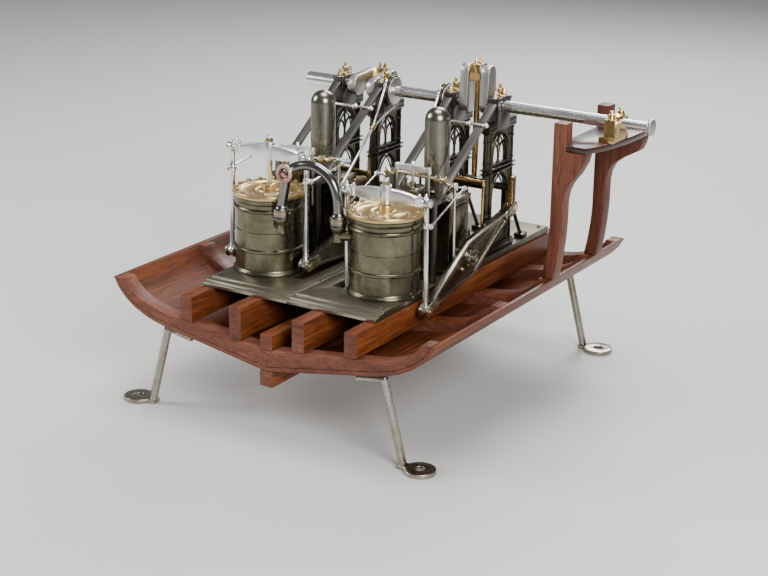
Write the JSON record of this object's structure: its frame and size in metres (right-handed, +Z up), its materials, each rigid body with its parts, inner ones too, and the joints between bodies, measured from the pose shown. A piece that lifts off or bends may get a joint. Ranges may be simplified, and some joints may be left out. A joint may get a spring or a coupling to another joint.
{
  "type": "model steam engine",
  "caption": "Model twin side-lever marine engine on a section of wooden hull, with overhead paddle shaft, outer bearing bracket and steel legs.",
  "frame": {"origin": "on the floor, under the middle of the whole model", "axes": "+X across the hull along the paddle shaft towards the outer bearing, +Y aft from the cylinders to the crankshaft, +Z up"},
  "size_m": [0.363, 0.3392, 0.2717],
  "materials": {
    "mahogany": "french polished",
    "mahogany_end_grain": "open grain",
    "gunmetal": "oiled dark gunmetal",
    "bedplate_iron": "oiled cast plate",
    "bright_steel": "polished",
    "brass": "polished",
    "dark_bronze": "toned bronze",
    "grey_steel": "drawn strip",
    "leg_steel": "worn, yellowed"
  },
  "bodies": {
    "root": {"hull_planking": "mahogany", "hull_front_rib": "mahogany_end_grain", "keel": "mahogany", "keelson": "mahogany", "engine_bearer_1": "mahogany", "engine_bearer_2": "mahogany", "engine_bearer_3": "mahogany", "engine_bearer_4": "mahogany", "left_bedplate": "bedplate_iron", "right_bedplate": "bedplate_iron", "steam_pipe": "gunmetal", "bracket_front_post": "mahogany", "bracket_rear_post": "mahogany", "bracket_shelf": "mahogany", "outer_bearing": "brass", "front_left_leg": "leg_steel", "front_right_leg": "leg_steel", "rear_left_leg": "leg_steel", "rear_right_leg": "leg_steel", "left_cylinder": "gunmetal", "left_cylinder_cover": "brass", "left_valve_chest": "gunmetal", "left_condenser": "gunmetal", "left_diagonal_stays": "grey_steel", "left_inner_frame": "gunmetal", "left_outer_frame": "gunmetal", "right_cylinder": "gunmetal", "right_cylinder_cover": "brass", "right_valve_chest": "gunmetal", "right_condenser": "gunmetal", "right_diagonal_stays": "grey_steel", "right_inner_frame": "gunmetal", "right_outer_frame": "gunmetal"},
    "paddle_shaft": {"left_paddle_shaft": "bright_steel", "middle_paddle_shaft": "bright_steel", "right_paddle_shaft": "bright_steel"},
    "left_levers": {"left_inner_lever": "gunmetal", "left_outer_lever": "gunmetal"},
    "left_connecting_rod": {"left_connecting_rod": "dark_bronze"},
    "left_crosshead": {"left_crosshead": "bright_steel"},
    "left_side_rods": {"left_inner_side_rod": "bright_steel", "left_outer_side_rod": "bright_steel"},
    "left_parallel_bars": {"left_parallel_bar": "bright_steel"},
    "left_motion_rods": {"left_motion_rod": "bright_steel"},
    "left_radius_shaft": {"left_radius_shaft": "brass"},
    "left_valve_crosshead": {"left_valve_crosshead": "bright_steel"},
    "left_eccentric_rod": {"left_eccentric_rod": "bright_steel"},
    "left_air_pump_crosshead": {"left_air_pump_crosshead": "brass"},
    "right_levers": {"right_inner_lever": "gunmetal", "right_outer_lever": "gunmetal"},
    "right_connecting_rod": {"right_connecting_rod": "dark_bronze"},
    "right_crosshead": {"right_crosshead": "bright_steel"},
    "right_side_rods": {"right_inner_side_rod": "bright_steel", "right_outer_side_rod": "bright_steel"},
    "right_parallel_bars": {"right_parallel_bar": "bright_steel"},
    "right_motion_rods": {"right_motion_rod": "bright_steel"},
    "right_radius_shaft": {"right_radius_shaft": "brass"},
    "right_valve_crosshead": {"right_valve_crosshead": "bright_steel"},
    "right_eccentric_rod": {"right_eccentric_rod": "bright_steel"},
    "right_air_pump_crosshead": {"right_air_pump_crosshead": "brass"}
  },
  "joints": [
    {"name": "paddle_shaft_turn", "type": "hinge", "parent": "root", "child": "paddle_shaft", "pos_m": [-0.0315, 0.063, 0.2336], "axis": [1, 0, 0], "range_deg": [0, 90]},
    {"name": "left_levers_rock", "type": "hinge", "parent": "root", "child": "left_levers", "pos_m": [-0.0866, -0.0092, 0.124], "axis": [1, 0, 0], "range_deg": [0, 14.71]},
    {"name": "left_connecting_rod_swing", "type": "hinge", "parent": "left_levers", "child": "left_connecting_rod", "pos_m": [-0.0866, 0.06496, 0.13107], "axis": [1, 0, 0], "range_deg": [-1.06, 0]},
    {"name": "left_crosshead_lift", "type": "slide", "parent": "root", "child": "left_crosshead", "axis": [0, 0, 1], "range_m": [-0.01859, 0]},
    {"name": "left_side_rods_tilt", "type": "hinge", "parent": "left_crosshead", "child": "left_side_rods", "pos_m": [-0.0866, -0.0814, 0.2049], "axis": [1, 0, 0], "range_deg": [0, 2.79]},
    {"name": "left_parallel_bars_tilt", "type": "hinge", "parent": "left_side_rods", "child": "left_parallel_bars", "pos_m": [-0.0866, -0.08181, 0.18661], "axis": [1, 0, 0], "range_deg": [0, 11.97]},
    {"name": "left_motion_rods_tilt", "type": "hinge", "parent": "left_levers", "child": "left_motion_rods", "pos_m": [-0.0866, -0.02851, 0.12216], "axis": [1, 0, 0], "range_deg": [-11.97, 0]},
    {"name": "left_radius_shaft_rock", "type": "hinge", "parent": "root", "child": "left_radius_shaft", "pos_m": [-0.0866, -0.036, 0.193], "axis": [1, 0, 0], "range_deg": [-34.09, 0]},
    {"name": "left_valve_crosshead_lift", "type": "slide", "parent": "root", "child": "left_valve_crosshead", "axis": [0, 0, 1], "range_m": [-0.003, 0.003]},
    {"name": "left_eccentric_rod_swing", "type": "hinge", "parent": "root", "child": "left_eccentric_rod", "pos_m": [-0.0866, -0.019, 0.1685], "axis": [1, 0, 0], "range_deg": [-1.94, 0]},
    {"name": "left_air_pump_crosshead_lift", "type": "slide", "parent": "root", "child": "left_air_pump_crosshead", "axis": [0, 0, 1], "range_m": [0, 0.00849]},
    {"name": "right_levers_rock", "type": "hinge", "parent": "root", "child": "right_levers", "pos_m": [0.0236, -0.0092, 0.124], "axis": [1, 0, 0], "range_deg": [-17.66, 0]},
    {"name": "right_connecting_rod_swing", "type": "hinge", "parent": "right_levers", "child": "right_connecting_rod", "pos_m": [0.0236, 0.06061, 0.15001], "axis": [1, 0, 0], "range_deg": [0, 33.82]},
    {"name": "right_crosshead_lift", "type": "slide", "parent": "root", "child": "right_crosshead", "axis": [0, 0, 1], "range_m": [0, 0.02239]},
    {"name": "right_side_rods_tilt", "type": "hinge", "parent": "right_crosshead", "child": "right_side_rods", "pos_m": [0.0236, -0.0814, 0.18596], "axis": [1, 0, 0], "range_deg": [-3.04, 0]},
    {"name": "right_parallel_bars_tilt", "type": "hinge", "parent": "right_side_rods", "child": "right_parallel_bars", "pos_m": [0.0236, -0.0809, 0.16767], "axis": [1, 0, 0], "range_deg": [-14.66, 0]},
    {"name": "right_motion_rods_tilt", "type": "hinge", "parent": "right_levers", "child": "right_motion_rods", "pos_m": [0.0236, -0.02738, 0.11723], "axis": [1, 0, 0], "range_deg": [0, 14.66]},
    {"name": "right_radius_shaft_rock", "type": "hinge", "parent": "root", "child": "right_radius_shaft", "pos_m": [0.0236, -0.036, 0.193], "axis": [1, 0, 0], "range_deg": [0, 40.49]},
    {"name": "right_valve_crosshead_lift", "type": "slide", "parent": "root", "child": "right_valve_crosshead", "axis": [0, 0, 1], "range_m": [-0.003, 0.003]},
    {"name": "right_eccentric_rod_swing", "type": "hinge", "parent": "root", "child": "right_eccentric_rod", "pos_m": [0.0236, -0.019, 0.1685], "axis": [1, 0, 0], "range_deg": [-1.94, 0]},
    {"name": "right_air_pump_crosshead_lift", "type": "slide", "parent": "root", "child": "right_air_pump_crosshead", "axis": [0, 0, 1], "range_m": [-0.01013, 0]}
  ],
  "couplings": [
    {"joint": "left_levers_rock", "follows": "paddle_shaft_turn", "ratio": 0.16284},
    {"joint": "left_connecting_rod_swing", "follows": "paddle_shaft_turn", "ratio": -0.011241},
    {"joint": "left_crosshead_lift", "follows": "paddle_shaft_turn", "m_per_rad": -0.011803},
    {"joint": "left_side_rods_tilt", "follows": "paddle_shaft_turn", "ratio": 0.030409},
    {"joint": "left_parallel_bars_tilt", "follows": "paddle_shaft_turn", "ratio": 0.13243},
    {"joint": "left_motion_rods_tilt", "follows": "paddle_shaft_turn", "ratio": -0.13243},
    {"joint": "left_radius_shaft_rock", "follows": "paddle_shaft_turn", "ratio": -0.37822},
    {"joint": "left_eccentric_rod_swing", "follows": "paddle_shaft_turn", "ratio": -0.020975},
    {"joint": "left_air_pump_crosshead_lift", "follows": "paddle_shaft_turn", "m_per_rad": 0.0053758},
    {"joint": "right_levers_rock", "follows": "paddle_shaft_turn", "ratio": -0.19562},
    {"joint": "right_connecting_rod_swing", "follows": "paddle_shaft_turn", "ratio": 0.37517},
    {"joint": "right_crosshead_lift", "follows": "paddle_shaft_turn", "m_per_rad": 0.014221},
    {"joint": "right_side_rods_tilt", "follows": "paddle_shaft_turn", "ratio": -0.033252},
    {"joint": "right_parallel_bars_tilt", "follows": "paddle_shaft_turn", "ratio": -0.16237},
    {"joint": "right_motion_rods_tilt", "follows": "paddle_shaft_turn", "ratio": 0.16237},
    {"joint": "right_radius_shaft_rock", "follows": "paddle_shaft_turn", "ratio": 0.44934},
    {"joint": "right_eccentric_rod_swing", "follows": "paddle_shaft_turn", "ratio": -0.020975},
    {"joint": "right_air_pump_crosshead_lift", "follows": "paddle_shaft_turn", "m_per_rad": -0.0064188}
  ]
}
